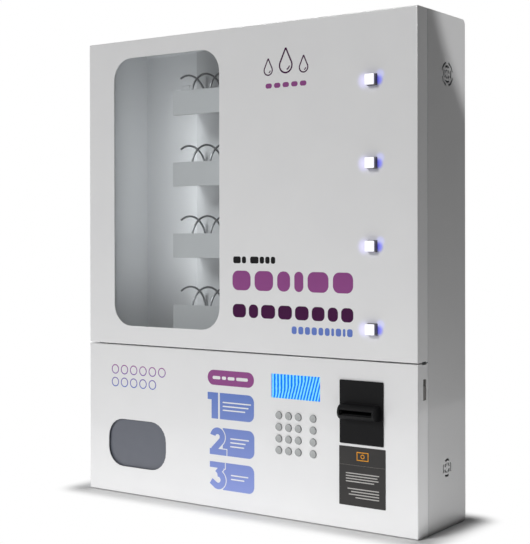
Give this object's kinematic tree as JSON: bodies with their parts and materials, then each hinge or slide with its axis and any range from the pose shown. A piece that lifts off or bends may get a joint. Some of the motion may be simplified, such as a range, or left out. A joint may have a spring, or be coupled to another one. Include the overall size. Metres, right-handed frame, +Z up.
{
  "type": "sanitary napkin vending machine",
  "caption": "Wall-hung cabinet vending machine: window, wire coils on trays, selection buttons, keypad, display, bill acceptor and a pick-up flap; both doors swing on a left hinge.",
  "frame": {"origin": "middle of the cabinet's flat underside, taken over the cabinet box without the hinge barrel and the bill acceptor's nose", "axes": "+X to the right as seen from the front, +Y to the back wall, +Z up"},
  "size_m": [0.7074, 0.19, 0.84],
  "materials": {
    "white_paint": "semi-gloss white powder coat",
    "grey_paint": "satin light grey powder coat",
    "zinc_steel": "zinc plated",
    "coil_steel": "drawn bright wire",
    "clear_acrylic": "clear cast acrylic",
    "lit_plastic": "translucent white, lit from inside",
    "key_plastic": "moulded grey",
    "black_plastic": "moulded black",
    "display_glass": "blue lit liquid crystal",
    "circuit_board": "green solder mask",
    "flap_plastic": "moulded slate grey",
    "hub_plastic": "natural nylon"
  },
  "bodies": {
    "cabinet": {"cabinet_shell": "white_paint", "middle_shelf": "white_paint", "rack_frame": "grey_paint", "pickup_bin": "grey_paint", "power_supply": "zinc_steel", "control_board": "circuit_board", "shelf_tray_1": "grey_paint", "shelf_tray_2": "grey_paint", "shelf_tray_3": "grey_paint", "shelf_tray_4": "grey_paint", "coil_motor_1": "black_plastic", "coil_motor_2": "black_plastic", "coil_motor_3": "black_plastic", "coil_motor_4": "black_plastic", "hinge_cabinet_leaf": "zinc_steel", "hinge_pin": "zinc_steel"},
    "upper_door": {"upper_door_panel": "white_paint", "window_pane": "clear_acrylic", "window_retainer": "white_paint", "select_switch_strip": "circuit_board", "upper_door_hinge_leaf": "zinc_steel"},
    "lower_door": {"lower_door_panel": "white_paint", "display_panel": "display_glass", "display_board": "circuit_board", "keypad_board": "circuit_board", "bill_bezel": "black_plastic", "bill_validator": "black_plastic", "flap_rod_bracket": "zinc_steel", "lower_door_hinge_leaf": "zinc_steel", "latch_case": "zinc_steel"},
    "coil_drive_1": {"coil_1": "coil_steel", "coil_hub_1": "hub_plastic"},
    "coil_drive_2": {"coil_2": "coil_steel", "coil_hub_2": "hub_plastic"},
    "coil_drive_3": {"coil_3": "coil_steel", "coil_hub_3": "hub_plastic"},
    "coil_drive_4": {"coil_4": "coil_steel", "coil_hub_4": "hub_plastic"},
    "select_button_1": {"select_button_1": "lit_plastic"},
    "select_button_2": {"select_button_2": "lit_plastic"},
    "select_button_3": {"select_button_3": "lit_plastic"},
    "select_button_4": {"select_button_4": "lit_plastic"},
    "key_1": {"key_1": "key_plastic"},
    "key_2": {"key_2": "key_plastic"},
    "key_3": {"key_3": "key_plastic"},
    "key_a": {"key_a": "key_plastic"},
    "key_4": {"key_4": "key_plastic"},
    "key_5": {"key_5": "key_plastic"},
    "key_6": {"key_6": "key_plastic"},
    "key_b": {"key_b": "key_plastic"},
    "key_7": {"key_7": "key_plastic"},
    "key_8": {"key_8": "key_plastic"},
    "key_9": {"key_9": "key_plastic"},
    "key_c": {"key_c": "key_plastic"},
    "key_star": {"key_star": "key_plastic"},
    "key_0": {"key_0": "key_plastic"},
    "key_hash": {"key_hash": "key_plastic"},
    "key_d": {"key_d": "key_plastic"},
    "pickup_flap": {"pickup_flap": "flap_plastic"},
    "latch_slide": {"latch_slide": "black_plastic"}
  },
  "joints": [
    {"name": "upper_door_swing", "type": "hinge", "parent": "cabinet", "child": "upper_door", "pos_m": [-0.354, -0.05, 0.559], "axis": [0, 0, -1], "range_deg": [0, 110]},
    {"name": "lower_door_swing", "type": "hinge", "parent": "cabinet", "child": "lower_door", "pos_m": [-0.354, -0.05, 0.14], "axis": [0, 0, -1], "range_deg": [0, 110]},
    {"name": "coil_1_spin", "type": "hinge", "parent": "cabinet", "child": "coil_drive_1", "pos_m": [0.2262, 0.0266, 0.7504], "axis": [1, 0, 0], "continuous": true},
    {"name": "coil_2_spin", "type": "hinge", "parent": "cabinet", "child": "coil_drive_2", "pos_m": [0.2262, 0.0266, 0.6168], "axis": [1, 0, 0], "continuous": true},
    {"name": "coil_3_spin", "type": "hinge", "parent": "cabinet", "child": "coil_drive_3", "pos_m": [0.2262, 0.0266, 0.4832], "axis": [1, 0, 0], "continuous": true},
    {"name": "coil_4_spin", "type": "hinge", "parent": "cabinet", "child": "coil_drive_4", "pos_m": [0.2262, 0.0266, 0.3496], "axis": [1, 0, 0], "continuous": true},
    {"name": "select_button_1_press", "type": "slide", "parent": "upper_door", "child": "select_button_1", "axis": [0, 1, 0], "range_m": [0, 0.0025], "stiffness_N_per_m": 600},
    {"name": "select_button_2_press", "type": "slide", "parent": "upper_door", "child": "select_button_2", "axis": [0, 1, 0], "range_m": [0, 0.0025], "stiffness_N_per_m": 600},
    {"name": "select_button_3_press", "type": "slide", "parent": "upper_door", "child": "select_button_3", "axis": [0, 1, 0], "range_m": [0, 0.0025], "stiffness_N_per_m": 600},
    {"name": "select_button_4_press", "type": "slide", "parent": "upper_door", "child": "select_button_4", "axis": [0, 1, 0], "range_m": [0, 0.0025], "stiffness_N_per_m": 600},
    {"name": "key_1_press", "type": "slide", "parent": "lower_door", "child": "key_1", "axis": [0, 1, 0], "range_m": [0, 0.0015], "stiffness_N_per_m": 400},
    {"name": "key_2_press", "type": "slide", "parent": "lower_door", "child": "key_2", "axis": [0, 1, 0], "range_m": [0, 0.0015], "stiffness_N_per_m": 400},
    {"name": "key_3_press", "type": "slide", "parent": "lower_door", "child": "key_3", "axis": [0, 1, 0], "range_m": [0, 0.0015], "stiffness_N_per_m": 400},
    {"name": "key_a_press", "type": "slide", "parent": "lower_door", "child": "key_a", "axis": [0, 1, 0], "range_m": [0, 0.0015], "stiffness_N_per_m": 400},
    {"name": "key_4_press", "type": "slide", "parent": "lower_door", "child": "key_4", "axis": [0, 1, 0], "range_m": [0, 0.0015], "stiffness_N_per_m": 400},
    {"name": "key_5_press", "type": "slide", "parent": "lower_door", "child": "key_5", "axis": [0, 1, 0], "range_m": [0, 0.0015], "stiffness_N_per_m": 400},
    {"name": "key_6_press", "type": "slide", "parent": "lower_door", "child": "key_6", "axis": [0, 1, 0], "range_m": [0, 0.0015], "stiffness_N_per_m": 400},
    {"name": "key_b_press", "type": "slide", "parent": "lower_door", "child": "key_b", "axis": [0, 1, 0], "range_m": [0, 0.0015], "stiffness_N_per_m": 400},
    {"name": "key_7_press", "type": "slide", "parent": "lower_door", "child": "key_7", "axis": [0, 1, 0], "range_m": [0, 0.0015], "stiffness_N_per_m": 400},
    {"name": "key_8_press", "type": "slide", "parent": "lower_door", "child": "key_8", "axis": [0, 1, 0], "range_m": [0, 0.0015], "stiffness_N_per_m": 400},
    {"name": "key_9_press", "type": "slide", "parent": "lower_door", "child": "key_9", "axis": [0, 1, 0], "range_m": [0, 0.0015], "stiffness_N_per_m": 400},
    {"name": "key_c_press", "type": "slide", "parent": "lower_door", "child": "key_c", "axis": [0, 1, 0], "range_m": [0, 0.0015], "stiffness_N_per_m": 400},
    {"name": "key_star_press", "type": "slide", "parent": "lower_door", "child": "key_star", "axis": [0, 1, 0], "range_m": [0, 0.0015], "stiffness_N_per_m": 400},
    {"name": "key_0_press", "type": "slide", "parent": "lower_door", "child": "key_0", "axis": [0, 1, 0], "range_m": [0, 0.0015], "stiffness_N_per_m": 400},
    {"name": "key_hash_press", "type": "slide", "parent": "lower_door", "child": "key_hash", "axis": [0, 1, 0], "range_m": [0, 0.0015], "stiffness_N_per_m": 400},
    {"name": "key_d_press", "type": "slide", "parent": "lower_door", "child": "key_d", "axis": [0, 1, 0], "range_m": [0, 0.0015], "stiffness_N_per_m": 400},
    {"name": "pickup_flap_swing", "type": "hinge", "parent": "lower_door", "child": "pickup_flap", "pos_m": [-0.2327, -0.0789, 0.1455], "axis": [1, 0, 0], "range_deg": [0, 75]},
    {"name": "latch_slide_lift", "type": "slide", "parent": "lower_door", "child": "latch_slide", "axis": [0, 0, 1], "range_m": [0, 0.01]}
  ]
}
